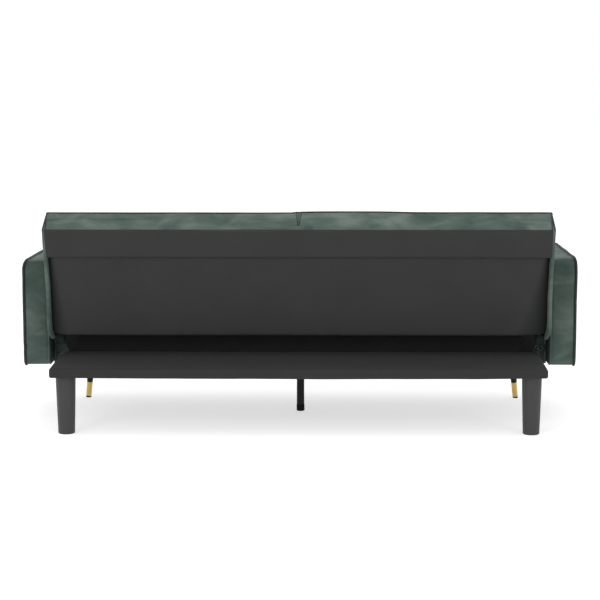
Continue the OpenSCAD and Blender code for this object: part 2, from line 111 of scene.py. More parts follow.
class Wire:
    # a socket that takes part in plain Python expressions
    def __init__(self, tree, socket=None):
        self.tree = tree
        self.socket = socket

    def add(self, kind, settings=None, inputs=None, output=0):
        node = self.tree.nodes.new("ShaderNode" + kind)
        for name, value in (settings or {}).items():
            if name == "stops":
                for i, (place, colour) in enumerate(value):
                    stop = node.color_ramp.elements[i] if i < 2 else node.color_ramp.elements.new(place)
                    stop.position = place
                    stop.color = colour if len(colour) == 4 else (*colour, 1)
            else:
                setattr(node, name, value)
        for name, value in (inputs or {}).items():
            if isinstance(value, Wire):
                self.tree.links.new(value.socket, node.inputs[name])
            else:
                node.inputs[name].default_value = value
        return Wire(self.tree, node.outputs[output])

    def maths(self, operation, first, second):
        return self.add("Math", {"operation": operation}, {0: first, 1: second})

    def __add__(self, other):
        return self.maths("ADD", self, other)

    def __radd__(self, other):
        return self.maths("ADD", other, self)

    def __sub__(self, other):
        return self.maths("SUBTRACT", self, other)

    def __rsub__(self, other):
        return self.maths("SUBTRACT", other, self)

    def __mul__(self, other):
        return self.maths("MULTIPLY", self, other)

    def __rmul__(self, other):
        return self.maths("MULTIPLY", other, self)

    def __pow__(self, other):
        return self.maths("POWER", self, other)


def mixColours(wire, share, first, second, mode="MIX"):
    return wire.add("Mix", {"data_type": "RGBA", "blend_type": mode, "clamp_result": False},
                    {0: share, 6: first, 7: second}, 2)


def place(wire, scale=(1, 1, 1), turn=(0, 0, 0)):
    spot = wire.add("TexCoord", output=3)
    return wire.add("Mapping", None, {"Vector": spot, "Scale": scale, "Rotation": turn})


def grain(wire, at, scale, detail=2.0, rough=0.5, warp=0.0):
    return wire.add("TexNoise", None, {"Vector": at, "Scale": scale, "Detail": detail,
                                       "Roughness": rough, "Distortion": warp})


def bumpy(wire, height, strength, distance, under=None):
    inputs = {"Strength": strength, "Distance": distance, "Height": height}
    if under is not None:
        inputs["Normal"] = under
    return wire.add("Bump", None, inputs)


def finish(name, fixed, varying):
    made = bpy.data.materials.new(name)
    made.use_nodes = True
    tree = made.node_tree
    shader = tree.nodes["Principled BSDF"]
    for socket, value in fixed.items():
        shader.inputs[socket].default_value = value
    for socket, wire in varying(Wire(tree)).items():
        tree.links.new(wire.socket, shader.inputs[socket])
    made.diffuse_color = (*fixed.get("Base Color", (0.2, 0.2, 0.2, 1))[:3], 1)
    return made


velvetSet = {
    "deep": (0.031, 0.052, 0.043, 1),
    "mid": (0.053, 0.077, 0.066, 1),
    "brushed": (0.094, 0.121, 0.107, 1),
    "sheen": 0.17, "sheenTint": (0.74, 0.82, 0.77, 1), "sheenRoughness": 0.34,
}


def velvetWires(wire, lift=1.0):
    at = place(wire)
    strokes = place(wire, scale=(1.0, 2.1, 2.6), turn=(0.3, 0.5, 0.2))
    patches = grain(wire, at, 6.5, 3, 0.55, 0.7)
    swipes = grain(wire, strokes, 7.0, 2, 0.5, 1.2)
    nap = patches * 0.74 + swipes * 0.26
    colour = wire.add("ValToRGB", {"stops": [(0.36, velvetSet["deep"]), (0.50, velvetSet["mid"]),
                                             (0.66, velvetSet["brushed"])]}, {0: nap})
    fibre = grain(wire, at, 1300.0, 2, 0.6)
    speck = wire.add("MapRange", None, {0: fibre, 1: 0.25, 2: 0.75, 3: 0.80 * lift, 4: 1.16 * lift})
    shaded = mixColours(wire, 1.0, colour, wire.add("CombineColor", None, {0: speck, 1: speck, 2: speck}),
                        "MULTIPLY")
    weave = grain(wire, at, 420.0, 2, 0.55)
    creases = grain(wire, strokes, 16.0, 2, 0.5, 0.8)
    soft = bumpy(wire, creases, 0.35, 0.004)
    return {"Base Color": shaded, "Roughness": 0.92 - nap * 0.22,
            "Normal": bumpy(wire, fibre * 0.6 + weave * 0.4, 0.45, 0.0006, soft)}


def makeVelvet(name="velvet", lift=1.0):
    fixed = {"Sheen Weight": velvetSet["sheen"], "Sheen Tint": velvetSet["sheenTint"],
             "Sheen Roughness": velvetSet["sheenRoughness"], "Specular IOR Level": 0.25}
    return finish(name, fixed, lambda wire: velvetWires(wire, lift))


def makePipingCloth():
    def varying(wire):
        at = place(wire)
        twist = grain(wire, at, 380.0, 2, 0.5)
        mottle = grain(wire, at, 30.0, 2, 0.5)
        colour = mixColours(wire, mottle, (0.008, 0.014, 0.012, 1), (0.024, 0.036, 0.031, 1))
        return {"Base Color": colour, "Normal": bumpy(wire, twist, 0.5, 0.0006)}
    fixed = {"Roughness": 0.8, "Sheen Weight": 0.2, "Sheen Tint": (0.5, 0.6, 0.55, 1),
             "Sheen Roughness": 0.4, "Specular IOR Level": 0.3}
    return finish("pipingCloth", fixed, varying)


backingSet = {
    "black": ((0.0250, 0.0247, 0.0250, 1), (0.0385, 0.0375, 0.0370, 1)),
    # the black cloth made darker: painted shade for the ledge under the back
    "ledge": ((0.0212, 0.0210, 0.0212, 1), (0.0355, 0.0347, 0.0342, 1)),
    # near-black cloth: painted shade for the seat's rear face in the gap and the arms' inner faces
    "shadeSheet": ((0.0100, 0.0101, 0.0101, 1), (0.0190, 0.0189, 0.0187, 1)),
    # the dark green of the painted shade on the lower dust cover, beside the turned-in velvet
    "shadeGreen": (0.0045, 0.0075, 0.0065, 1), "pitch": 620.0,
}


def makeBacking(name, tones, shaded=False):
    def varying(wire):
        at = place(wire)
        clouds = grain(wire, at, 7.0, 4, 0.6)
        hairs = grain(wire, place(wire, scale=(1, 1, 3.2), turn=(0.2, 0.7, 0.4)), 240.0, 3, 0.6, 0.6)
        colour = mixColours(wire, clouds * 0.55 + hairs * 0.45, *tones)
        if shaded:                                   # painted shade: dark green where the cover dips towards the turned-in velvet
            drawn = wire.add("Attribute", {"attribute_name": "drawn"}, output=2)
            colour = mixColours(wire, drawn * (0.8 + hairs * 0.3), colour, backingSet["shadeGreen"])
        dots = wire.add("TexVoronoi", {"feature": "F1"},
                        {"Vector": at, "Scale": backingSet["pitch"], "Randomness": 0.25})
        pits = wire.add("MapRange", None, {0: dots, 1: 0.15, 2: 0.45, 3: 0.0, 4: 1.0})
        ripple = bumpy(wire, grain(wire, place(wire, scale=(0.5, 1, 1.6)), 11.0, 2, 0.5, 0.4), 0.25, 0.006)
        return {"Base Color": colour, "Roughness": 0.92 - hairs * 0.10,
                "Normal": bumpy(wire, pits * 0.5 + hairs * 0.5, 0.5, 0.0004, ripple)}
    return finish(name, {"Sheen Weight": 0.03, "Sheen Roughness": 0.5,
                         "Specular IOR Level": 0.14}, varying)


def makeLegPlastic():
    def varying(wire):
        at = place(wire)
        skin = grain(wire, at, 520.0, 2, 0.5)
        cloud = grain(wire, at, 14.0, 3, 0.5)
        scuffs = grain(wire, place(wire, scale=(9, 9, 0.7)), 24.0, 3, 0.6)
        colour = mixColours(wire, cloud, (0.021, 0.021, 0.023, 1), (0.029, 0.028, 0.030, 1))
        return {"Base Color": colour, "Roughness": 0.40 + scuffs * 0.22,
                "Normal": bumpy(wire, skin, 0.25, 0.0003)}
    return finish("legPlastic", {"Specular IOR Level": 0.45}, varying)


def makeBlackPaint():
    def varying(wire):
        peel = grain(wire, place(wire), 300.0, 2, 0.5)
        cloud = grain(wire, place(wire), 30.0, 2, 0.5)
        return {"Base Color": mixColours(wire, cloud, (0.0035, 0.0035, 0.004, 1), (0.008, 0.008, 0.0085, 1)),
                "Roughness": 0.34 + cloud * 0.2, "Normal": bumpy(wire, peel, 0.2, 0.0003)}
    return finish("blackPaint", {"Specular IOR Level": 0.2}, varying)


def makeBrass():
    def varying(wire):
        brush = grain(wire, place(wire, scale=(1, 1, 14)), 160.0, 3, 0.6)
        tarnish = grain(wire, place(wire), 40.0, 3, 0.5)
        colour = mixColours(wire, tarnish, (0.40, 0.28, 0.09, 1), (0.62, 0.47, 0.20, 1))
        return {"Base Color": colour, "Roughness": 0.20 + brush * 0.22,
                "Normal": bumpy(wire, brush, 0.12, 0.0002)}
    return finish("brass", {"Metallic": 1.0}, varying)


def makeMetal(name, dark, pale, roughness, metallic=1.0):
    def varying(wire):
        spangle = grain(wire, place(wire), 120.0, 3, 0.6)
        smear = grain(wire, place(wire, scale=(1, 5, 1)), 40.0, 3, 0.6)
        return {"Base Color": mixColours(wire, spangle, dark, pale),
                "Roughness": roughness + smear * 0.25, "Normal": bumpy(wire, spangle, 0.15, 0.0002)}
    return finish(name, {"Metallic": metallic}, varying)


def makeTimber(name, early, late, scale=1.0):
    def varying(wire):
        along = place(wire, scale=(0.6, 6, 6))
        rings = wire.add("TexWave", {"wave_type": "BANDS", "bands_direction": "Y"},
                         {"Vector": along, "Scale": 3.0 * scale, "Distortion": 5.0, "Detail": 3.0})
        fibre = grain(wire, place(wire, scale=(2, 60, 60)), 12.0, 3, 0.6)
        return {"Base Color": mixColours(wire, rings * 0.7 + fibre * 0.3, early, late),
                "Roughness": 0.62 + fibre * 0.2, "Normal": bumpy(wire, fibre, 0.3, 0.0005)}
    return finish(name, {"Specular IOR Level": 0.3}, varying)


def makeWoven(name, dark, pale, pitch):
    def varying(wire):
        across = wire.add("TexWave", {"bands_direction": "X"}, {"Vector": place(wire), "Scale": pitch})
        up = wire.add("TexWave", {"bands_direction": "Z"}, {"Vector": place(wire), "Scale": pitch})
        fluff = grain(wire, place(wire), 300.0, 3, 0.6)
        threads = across * 0.35 + up * 0.35 + fluff * 0.3
        return {"Base Color": mixColours(wire, threads, dark, pale),
                "Roughness": 0.95 - fluff * 0.15, "Normal": bumpy(wire, threads, 0.5, 0.0006)}
    return finish(name, {"Sheen Weight": 0.1, "Specular IOR Level": 0.2}, varying)


def makeMoulded(name, dark, pale, roughness, shine=0.5):
    def varying(wire):
        fleck = grain(wire, place(wire), 260.0, 3, 0.6)
        cloud = grain(wire, place(wire), 18.0, 2, 0.5)
        return {"Base Color": mixColours(wire, cloud, dark, pale),
                "Roughness": roughness + fleck * 0.2, "Normal": bumpy(wire, fleck, 0.3, 0.0004)}
    return finish(name, {"Specular IOR Level": shine}, varying)


finishes = {
    "velvet": makeVelvet(),
    "black_cloth": makeBacking("backingCloth", backingSet["black"]),
    "timber": makeTimber("pine", (0.52, 0.36, 0.20, 1), (0.66, 0.50, 0.31, 1)),
    "hardboard": makeTimber("hardboard", (0.20, 0.11, 0.06, 1), (0.30, 0.18, 0.10, 1), 4.0),
    "felt": makeWoven("felt", (0.16, 0.16, 0.17, 1), (0.30, 0.29, 0.28, 1), 90.0),
    "webbing": makeWoven("webbing", (0.03, 0.03, 0.03, 1), (0.11, 0.11, 0.11, 1), 140.0),
    "spring_steel": makeMetal("springSteel", (0.20, 0.20, 0.21, 1), (0.38, 0.38, 0.40, 1), 0.3),
    "nylon": makeMoulded("nylon", (0.52, 0.52, 0.50, 1), (0.64, 0.64, 0.61, 1), 0.45),
    "hinge_steel": makeMoulded("hingePaint", (0.004, 0.004, 0.005, 1), (0.010, 0.010, 0.011, 1), 0.42, 0.16),
    "zinc_plate": makeMetal("zincPlate", (0.42, 0.43, 0.45, 1), (0.66, 0.66, 0.66, 1), 0.22),
    "leg_plastic": makeLegPlastic(),
    "black_metal": makeBlackPaint(),
    "brass": makeBrass(),
    "rubber": makeMoulded("rubber", (0.004, 0.004, 0.0045, 1), (0.009, 0.009, 0.0095, 1), 0.7, 0.12),
}
pipingCloth = makePipingCloth()
# the velvet at half brightness: painted shade for the seat border's rear turns and the left seat corner
tuckedVelvet = makeVelvet("tuckedVelvet", 0.50)
# the velvet made lighter: painted light for the top of the back and the arms' inner piping
brushedVelvet = makeVelvet("brushedVelvet", 1.22)
# the lower dust cover's cloth, with painted shade towards its sides
dustCloth = makeBacking("dustCloth", backingSet["black"], shaded=True)
ledgeCloth = makeBacking("ledgeCloth", backingSet["ledge"])
# near-black cloth that paints the shade in the gaps
liningCloth = makeBacking("liningCloth", backingSet["shadeSheet"])

for subpart in frame["record"]["subparts"]:
    node = frame["nodes"][subpart["node"]]
    node.data.materials.clear()
    node.data.materials.append(finishes[subpart["material_slot"]])
print("finishes made:", len(finishes) + 1)


def newPiece(name, bm):
    made = bpy.data.meshes.new(name)
    bm.normal_update()
    bm.to_mesh(made)
    bm.free()
    for face in made.polygons:
        face.use_smooth = True
    piece = bpy.data.objects.new(name, made)
    scene.collection.objects.link(piece)
    return piece


def dress(piece, cloth, body, nodes=()):
    piece.data.materials.clear()
    piece.data.materials.append(cloth)
    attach(piece, body)
    if nodes:
        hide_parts(*nodes)
    return piece


def bake(piece):
    # leaves the piece with the mesh that its modifiers make
    graph = bpy.context.evaluated_depsgraph_get()
    made = bpy.data.meshes.new_from_object(piece.evaluated_get(graph))
    piece.modifiers.clear()
    piece.data = made
    for face in made.polygons:
        face.use_smooth = True


def points(mesh, kind="co"):
    spots = np.empty(len(mesh.vertices) * 3)
    mesh.vertices.foreach_get(kind, spots)
    return spots.reshape(-1, 3)


def walled(piece, thickness):
    # gives a sheet its thickness, on the inside of its faces
    wall = piece.modifiers.new("wall", "SOLIDIFY")
    wall.thickness = thickness
    wall.offset = -1
    bake(piece)
    return piece


def setPoints(piece, spots):
    piece.data.vertices.foreach_set("co", np.ascontiguousarray(spots, float).ravel())
    piece.data.update()


def block(low, high, corner=0.0, segments=4, axis=None):
    # a cuboid; its edges along an axis are rounded, or all of them where none is named
    bm = bmesh.new()
    bmesh.ops.create_cube(bm, size=1)
    low, high = Vector(low), Vector(high)
    bmesh.ops.scale(bm, vec=high - low, verts=bm.verts)
    bmesh.ops.translate(bm, vec=(low + high) / 2, verts=bm.verts)
    if corner:
        edges = [e for e in bm.edges if axis is None
                 or abs((e.verts[0].co - e.verts[1].co).normalized()[axis]) > 0.9]
        bmesh.ops.bevel(bm, geom=edges, offset=corner, affect="EDGES", segments=segments,
                        profile=0.5, material=-1)
    return bm


def tube(name, path, radius, closed=False, sides=10):
    # a piping cord or wire along a path
    line = bpy.data.curves.new(name, "CURVE")
    line.dimensions = "3D"
    line.bevel_depth = radius
    line.bevel_resolution = max(1, sides // 4)
    line.use_fill_caps = True
    spline = line.splines.new("POLY")
    spline.points.add(len(path) - 1)
    for point, spot in zip(spline.points, path):
        point.co = (*spot, 1)
    spline.use_cyclic_u = closed
    maker = bpy.data.objects.new(name, line)
    scene.collection.objects.link(maker)
    graph = bpy.context.evaluated_depsgraph_get()
    made = bpy.data.meshes.new_from_object(maker.evaluated_get(graph))
    bpy.data.objects.remove(maker)
    for face in made.polygons:
        face.use_smooth = True
    piece = bpy.data.objects.new(name, made)
    scene.collection.objects.link(piece)
    return piece


def clothPanel(name, low, high, columns, rows, shape, thickness, across=(0, 2), facing=(0, 1, 0)):
    # a panel between two corners of two axes, facing one way, whose points are moved by shape
    bm = bmesh.new()
    facing = Vector(facing)
    bmesh.ops.create_grid(bm, x_segments=columns, y_segments=rows, size=0.5)
    for v in bm.verts:
        spot = [0.0, 0.0, 0.0]
        for axis, share in zip(across, (v.co.x + 0.5, v.co.y + 0.5)):
            spot[axis] = low[axis] + (high[axis] - low[axis]) * share
        v.co = Vector(shape(*spot))
    bm.normal_update()
    if sum((f.normal.dot(facing) for f in bm.faces), 0.0) < 0:
        bmesh.ops.reverse_faces(bm, faces=bm.faces)
    return walled(newPiece(name, bm), thickness)


def joined(name, pieces):
    bm = bmesh.new()
    for piece in pieces:
        bm.from_mesh(piece.data)
        bpy.data.objects.remove(piece)
    return newPiece(name, bm)


def roundedLoop(width, height, corner, step=0.02, segments=6):
    # points round a rectangle in the XY plane, from its lower left corner, with rounded corners
    bm = bmesh.new()
    bmesh.ops.create_grid(bm, x_segments=1, y_segments=1, size=0.5)
    bmesh.ops.scale(bm, vec=(width, height, 1), verts=bm.verts)
    bmesh.ops.translate(bm, vec=(width / 2, height / 2, 0), verts=bm.verts)
    bmesh.ops.bevel(bm, geom=list(bm.verts), offset=corner, affect="VERTICES", segments=segments,
                    profile=0.5, material=-1)
    bm.faces.ensure_lookup_table()
    ring = [v.co.copy() for v in bm.faces[0].verts]
    bm.free()
    path = []
    for spot, after in zip(ring, ring[1:] + ring[:1]):
        cuts = max(1, int((after - spot).length / step))
        path += [spot.lerp(after, i / cuts) for i in range(cuts)]
    return path


def skinOf(piece):
    bm = bmesh.new()
    bm.from_mesh(piece.data)
    skin = BVHTree.FromBMesh(bm)
    bm.free()
    return skin


def hug(path, piece, rise):
    # a path drawn on to a pad's skin, and lifted off it by rise
    skin = skinOf(piece)
    found = [skin.find_nearest(spot) for spot in path]
    return [spot + away * rise for spot, away, _, _ in found]


def wobble(spot, scale, amount, seed=0.0):
    return noise.noise(Vector(spot) * scale + Vector((seed, seed * 0.7, -seed))) * amount


clothSet = {"voxel": 0.008, "pressure": 4.0, "frames": 20, "quality": 4, "mass": 0.3, "stretch": 12,
            "shear": 5, "bending": 0.6}


def swell(piece, cap, held, passes=2, voxel=clothSet["voxel"]):
    # the padded cover blows up under pressure; points where held is true stay, and no point moves past cap
    remesh = piece.modifiers.new("remesh", "REMESH")
    remesh.mode = "VOXEL"
    remesh.voxel_size = voxel
    remesh.use_smooth_shade = True
    bake(piece)
    start = points(piece.data)
    group = piece.vertex_groups.new(name="held")
    group.add([i for i, spot in enumerate(start) if held(spot)], 1.0, "REPLACE")
    cloth = piece.modifiers.new("cloth", "CLOTH")
    cloth.settings.quality = clothSet["quality"]
    cloth.settings.mass = clothSet["mass"]
    cloth.settings.tension_stiffness = clothSet["stretch"]
    cloth.settings.compression_stiffness = clothSet["stretch"]
    cloth.settings.shear_stiffness = clothSet["shear"]
    cloth.settings.bending_stiffness = clothSet["bending"]
    cloth.settings.use_pressure = True
    cloth.settings.uniform_pressure_force = clothSet["pressure"]
    cloth.settings.effector_weights.gravity = 0
    cloth.settings.vertex_group_mass = "held"
    cloth.collision_settings.use_collision = False
    cloth.point_cache.frame_end = clothSet["frames"]
    for step in range(1, clothSet["frames"] + 1):
        scene.frame_set(step)
    graph = bpy.context.evaluated_depsgraph_get()
    moved = points(piece.evaluated_get(graph).to_mesh()) - start
    piece.evaluated_get(graph).to_mesh_clear()
    piece.modifiers.clear()
    scene.frame_set(1)
    length = np.linalg.norm(moved, axis=1, keepdims=True)
    share = cap * np.tanh(length / cap) / np.maximum(length, 1e-9)
    setPoints(piece, start + moved * share)
    bm = bmesh.new()
    bm.from_mesh(piece.data)
    for _ in range(passes):
        bmesh.ops.smooth_vert(bm, verts=bm.verts, factor=0.5, use_axis_x=True, use_axis_y=True,
                              use_axis_z=True)
    bm.to_mesh(piece.data)
    bm.free()
    smoother = piece.modifiers.new("smoother", "SUBSURF")
    smoother.levels = smoother.render_levels = 1
    bake(piece)


def crease(piece, amount, scale, seed):
    # slow dents and fine puckers along the normals
    spots, away = points(piece.data), points(piece.data, "normal")
    depth = [wobble(s, scale, amount, seed) + wobble(s, scale * 3.1, amount * 0.35, seed + 5)
             for s in spots]
    setPoints(piece, spots + away * np.array(depth)[:, None])


def flipped(piece, name):
    # the same piece on the sofa's other side
    bm = bmesh.new()
    bm.from_mesh(piece.data)
    bmesh.ops.scale(bm, vec=(-1, 1, 1), verts=bm.verts)
    bmesh.ops.reverse_faces(bm, faces=bm.faces)
    return newPiece(name, bm)


seatSet = {"cap": 0.020, "corner": 0.020, "edge": 0.010, "lip": 0.006, "piping": 0.0032, "inset": 0.004,
           "dents": 0.0016, "dentScale": 5.0, "fill": 0.75}


def seatPiping(name, side, height, cushion):
    width = seatBox[1].x - seatBox[0].x
    depth = seatBox[1].y - seatBox[0].y
    inset = seatSet["inset"]
    path = roundedLoop(width - 2 * inset, depth - 2 * inset, seatSet["corner"])
    spots = [Vector((side * (seatBox[0].x + inset + p.x), seatBox[0].y + inset + p.y,
                     height + wobble((p.x, p.y, 0), 9, 0.0012, side))) for p in path]
    return tube(name, hug(spots, cushion, seatSet["piping"] * 0.4), seatSet["piping"], closed=True)


def makeSeat():
    low, high = seatBox
    edge = seatSet["edge"]
    shape = block((low.x, low.y + 0.003, low.z), (high.x - 0.003, high.y - 0.001, high.z - edge),
                  seatSet["corner"], 5, axis=2)
    left = newPiece("seatCushionLeft", shape)
    rim = high.z - edge - seatSet["lip"]

    def held(spot):
        return spot[2] < low.z + 0.010 or spot[1] > high.y - 0.008 or (
            spot[2] > rim - 0.004 and (spot[0] < low.x + 0.007 or spot[0] > high.x - 0.012
                                       or spot[1] < low.y + 0.012))
    swell(left, seatSet["cap"], held)
    right = flipped(left, "seatCushionRight")
    for side, name, cushion, seed in ((1, "Left", left, 3.0), (-1, "Right", right, 11.0)):
        crease(cushion, seatSet["dents"], seatSet["dentScale"], seed)
        dress(cushion, finishes["velvet"], "base", ["seat_cushion_" + name.lower()])
        piping = seatPiping("seatPiping" + name, side, rim + 0.004, cushion)
        dress(piping, pipingCloth, "base")


makeSeat()
print("seat cushions made")


borderSet = {"column": 0.02, "rows": 10, "turn": 0.062, "corner": 0.012}


def faceOut(bm, outward):
    # turns a sheet's faces the way its first one should look
    bmesh.ops.recalc_face_normals(bm, faces=bm.faces)
    bm.normal_update()
    if bm.faces[:][0].normal.dot(outward) < 0:
        bmesh.ops.reverse_faces(bm, faces=bm.faces)


def borderPanel(name, start, end, outward, low, high, thickness, crown, seed):
    # an upright strip of padded velvet between two floor points, with its top and bottom drawn in
    bm = bmesh.new()
    start, end, outward = Vector(start), Vector(end), Vector(outward)
    columns = max(6, int((end - start).length / borderSet["column"]))
    bmesh.ops.create_grid(bm, x_segments=columns, y_segments=borderSet["rows"], size=0.5)
    for v in bm.verts:
        u, w = v.co.x + 0.5, v.co.y + 0.5
        bulge = crown * (1 - (2 * w - 1) ** 4) * (1 - (2 * u - 1) ** 16)
        spot = start.lerp(end, u) + Vector((0, 0, low + (high - low) * w))
        v.co = spot + outward * (bulge - crown + wobble(spot, 14, 0.0010, seed))
    faceOut(bm, outward)
    return walled(newPiece(name, bm), thickness)


def makeBorder():
    low, high = borderBox[0].z, borderBox[1].z
    x, front, rear = borderBox[1].x, seatBox[0].y, seatBox[1].y
    turn = borderSet["turn"]
    panels = [
        borderPanel("front", (-x, front, 0), (x, front, 0), (0, -1, 0), low, high, 0.006, 0.003, 1),
        borderPanel("leftEnd", (x, front, 0), (x, rear, 0), (1, 0, 0), low, high, 0.005, 0.002, 2),
        borderPanel("rightEnd", (-x, front, 0), (-x, rear, 0), (-1, 0, 0), low, high, 0.005, 0.002, 3)]
    turns = [
        borderPanel("leftTurn", (x, rear, 0), (x - turn, rear, 0), (0, 1, 0), low, high, 0.003, 0.0015, 4),
        borderPanel("rightTurn", (-x, rear, 0), (turn - x, rear, 0), (0, 1, 0), low, high, 0.003,
                    0.0015, 5)]
    border = joined("seatBorder", panels)
    dress(border, finishes["velvet"], "base",
          ["seat_border_left", "seat_border_right", "seat_front_border"])
    # the rear turns wear the darker velvet as painted shade
    dress(joined("seatBorderTurns", turns), tuckedVelvet, "base", ())
    inset = seatSet["inset"]
    loop = roundedLoop(2 * (x - inset), rear - front - 2 * inset, borderSet["corner"])
    spots = [Vector((p.x - x + inset, p.y + front + inset, high + wobble((p.x, p.y, 0), 7, 0.001)))
             for p in loop]
    dress(tube("seatBorderPiping", spots, seatSet["piping"], closed=True), pipingCloth, "base")


makeBorder()
print("seat border made")


armSet = {"corner": 0.026, "edge": 0.0015, "cap": 0.006, "voxel": 0.006, "inset": 0.001, "rim": 0.012,
          "piping": {"Outer": 0.0054, "Inner": 0.0030}, "turnIn": {"left": 0.009, "right": 0.005},
          "turnHeight": 0.036, "dents": 0.0014, "dentScale": 7.0, "fill": 0.6,
          "lift": {"left": -0.001, "right": 0.010},          # the right arm is stuffed a little higher
          "droop": {"left": 0.007, "right": 0.001}, "press": 0.0002}


def liftArm(spot, side):
    # the outer top edge of an arm is the part that rises; its top turns in and droops to the front
    low, high = armBoxes[side]
    up = max(0.0, (spot.z - low.z) / (high.z - low.z))
    out = max(0.0, (abs(spot.x) - min(abs(low.x), abs(high.x))) / (high.x - low.x))
    forward = max(0.0, (high.y - spot.y) / (high.y - low.y))
    near = max(0.0, 1 - (high.z - spot.z) / armSet["turnHeight"])
    spot.x -= math.copysign(armSet["turnIn"][side] * near ** 2 * out, spot.x)
    spot.z += up ** 2 * (armSet["lift"][side] * (0.35 + 0.65 * out) - armSet["droop"][side] * forward)
    return spot


def armPiping(name, side, x, arm, radius):
    low, high = armBoxes[side]
    inset = armSet["inset"]
    loop = roundedLoop(high.y - low.y - 2 * inset, high.z - low.z - 2 * inset, armSet["corner"])
    spots = [liftArm(Vector((x + wobble((0, p.x, p.y), 8, 0.0010, x), low.y + inset + p.x,
                             low.z + inset + p.y + wobble((0, p.x, p.y), 6, 0.0012, x + 3))), side)
             for p in loop]
    return tube(name, hug(spots, arm, radius * 0.55), radius, closed=True)


def makeArm(side, sign):
    low, high = armBoxes[side]
    edge = armSet["edge"]
    shape = block(low + Vector((edge, edge, edge)), high - Vector((edge, edge, edge)),
                  armSet["corner"], 6, axis=0)
    name = "arm" + side.capitalize()
    arm = newPiece(name, shape)

    def held(spot):
        nearEnd = min(spot[0] - low.x, high.x - spot[0])
        nearRim = min(spot[1] - low.y, high.y - spot[1], spot[2] - low.z, high.z - spot[2])
        return nearEnd < armSet["rim"] and nearRim < armSet["rim"]
    swell(arm, armSet["cap"], held, voxel=armSet["voxel"])
    crease(arm, armSet["dents"], armSet["dentScale"], 20.0 + sign)
    inner = armBoxes["left"][0].x
    for v in arm.data.vertices:
        v.co = liftArm(v.co.copy(), side)
        if v.co.z < seatBox[1].z and abs(v.co.x) < inner:          # flat where the seat is against it
            v.co.x = math.copysign(inner - armSet["press"], v.co.x)
    dress(arm, finishes["velvet"], "base",
          ["arm_inner_pad_" + side, "arm_outer_pad_" + side])
    for word, x in (("Outer", high.x if sign > 0 else low.x), ("Inner", low.x if sign > 0 else high.x)):
        toward = -sign if word == "Outer" else sign
        piping = armPiping(name + word + "Piping", side, x + toward * armSet["inset"], arm,
                           armSet["piping"][word])
        # the inner piping wears the lighter velvet as painted light
        dress(piping, pipingCloth if word == "Outer" else brushedVelvet, "base")
    return arm


shadeSheetSet = {"bottom": 0.012, "top": 0.145, "front": 0.030, "rear": 0.018, "aim": 0.85, "lift": 0.0006,
             "thickness": 0.001}


def makeArmShadeSheet(side, sign, arm):
    # a dark sheet on the lower part of the inner face, beside the seat: painted shade in the gap between arm and
    # seat
    low, high = armBoxes[side]
    facts = shadeSheetSet
    skin = skinOf(arm)

    def shape(x, y, z):
        hit = skin.ray_cast(Vector((sign * facts["aim"], y, z)), Vector((sign, 0, 0)))[0]
        return (hit.x - sign * facts["lift"], y, z)
    start = (0, low.y + facts["front"], low.z + facts["bottom"])
    end = (0, high.y - facts["rear"], low.z + facts["top"])
    shadeSheet = clothPanel(arm.name + "Lining", start, end, 60, 14, shape, facts["thickness"],
                        across=(1, 2), facing=(-sign, 0, 0))
    dress(shadeSheet, liningCloth, "base")


for side, sign in (("left", 1), ("right", -1)):
    makeArmShadeSheet(side, sign, makeArm(side, sign))
print("arms made")


backSet = {"cap": 0.014, "corner": 0.005, "piping": 0.0026, "puff": 0.0030, "fuller": 0.0016,
           "tab": 0.011, "rim": 0.008, "dents": 0.0014, "dentScale": 5.0, "fill": 0.7}


def backTop(y):
    # height of the top in the back's own frame, y running forward through it as a negative number
    return back["height"] + back["rise"] * (-y / back["thickness"])


def puff(x):
    # the right half of the back stands a little fuller, most of all beside the middle seam
    if x > 0.01:
        return 0.0
    return backSet["fuller"] + backSet["puff"] * math.exp(-((x + 0.18) / 0.19) ** 4)


def makeBackPads():
    x1, front = back["halfWidth"], -back["thickness"]
    low = (0.0006, front + 0.006, 0.003)
    high = (x1 - 0.003, -back["padRear"], backTop(front) - 0.006)
    shape = block(low, high, backSet["corner"], 5, axis=1)
    left = newPiece("backPadLeft", shape)

    def held(spot):
        rim = backSet["rim"]
        nearRim = (spot[0] < low[0] + rim or spot[0] > high[0] - rim
                   or spot[2] < low[2] + rim or spot[2] > high[2] - rim)
        return spot[1] > high[1] - rim or nearRim
    swell(left, backSet["cap"], held)
    right = flipped(left, "backPadRight")
    for piece, node, seed in ((left, "back_cushion_left", 31.0), (right, "back_cushion_right", 47.0)):
        crease(piece, backSet["dents"], backSet["dentScale"], seed)
        piece.data.transform(backFrame)
        dress(piece, finishes["velvet"], "back", [node])
    loop = roundedLoop(x1 - 0.002, backTop(front) - 0.004, backSet["corner"])
    for side, name in ((1, "Left"), (-1, "Right")):
        spots = [backFrame @ Vector((side * (0.0005 + p.x), front + 0.003 + wobble(p, 9, 0.001, side),
                                     0.002 + p.y + puff(side * p.x) * p.y / backTop(front)))
                 for p in loop]
        dress(tube("backPiping" + name, spots, backSet["piping"], closed=True), pipingCloth, "back")
    tab = [backFrame @ Vector((backSet["tab"] * i / 6, front + 0.004, backTop(front) - 0.0025
                               + puff(backSet["tab"] * i / 6))) for i in range(-6, 7)]
    dress(tube("backPipingTab", tab, backSet["piping"]), pipingCloth, "back")


makeBackPads()
print("back pads made")


topSet = {"gatherFine": 0.0019, "crown": 0.0035, "gatherWidth": 0.009, "gatherDepth": 0.011,
          "gatherReach": 0.78, "thickness": 0.005, "rearRound": 0.0025}


